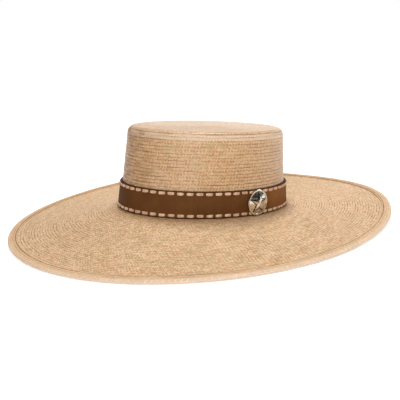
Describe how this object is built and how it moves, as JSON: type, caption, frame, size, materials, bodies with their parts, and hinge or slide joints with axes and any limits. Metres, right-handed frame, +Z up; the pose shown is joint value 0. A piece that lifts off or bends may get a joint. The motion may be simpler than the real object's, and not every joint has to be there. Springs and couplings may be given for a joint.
{
  "type": "straw cowboy hat",
  "caption": "Wide-brimmed straw cowboy hat with a flat, lightly leaning crown, a folded brim edge and a buck-stitched leather hat band closed by a domed silver star concho.",
  "frame": {"origin": "middle of the brim's outline, on the table that the hat stands on", "axes": "+Z up, -Y the front of the hat, +X the wearer's left, the side with the concho"},
  "size_m": [0.4032, 0.4383, 0.1101],
  "materials": {
    "straw": "sewn rows of flat plaited palm braid, matt with a faint sheen",
    "band_leather": "brown vegetable-tanned strap, semi-matt",
    "lace_leather": "pale flat lace, matt",
    "silver": "polished silver plate with a dark patina in the hollows"
  },
  "bodies": {
    "root": {"crown": "straw", "brim": "straw", "brim_edge": "straw", "hat_band": "band_leather", "upper_lace": "lace_leather", "lower_lace": "lace_leather", "concho": "silver", "concho_screw": "silver"}
  },
  "joints": []
}
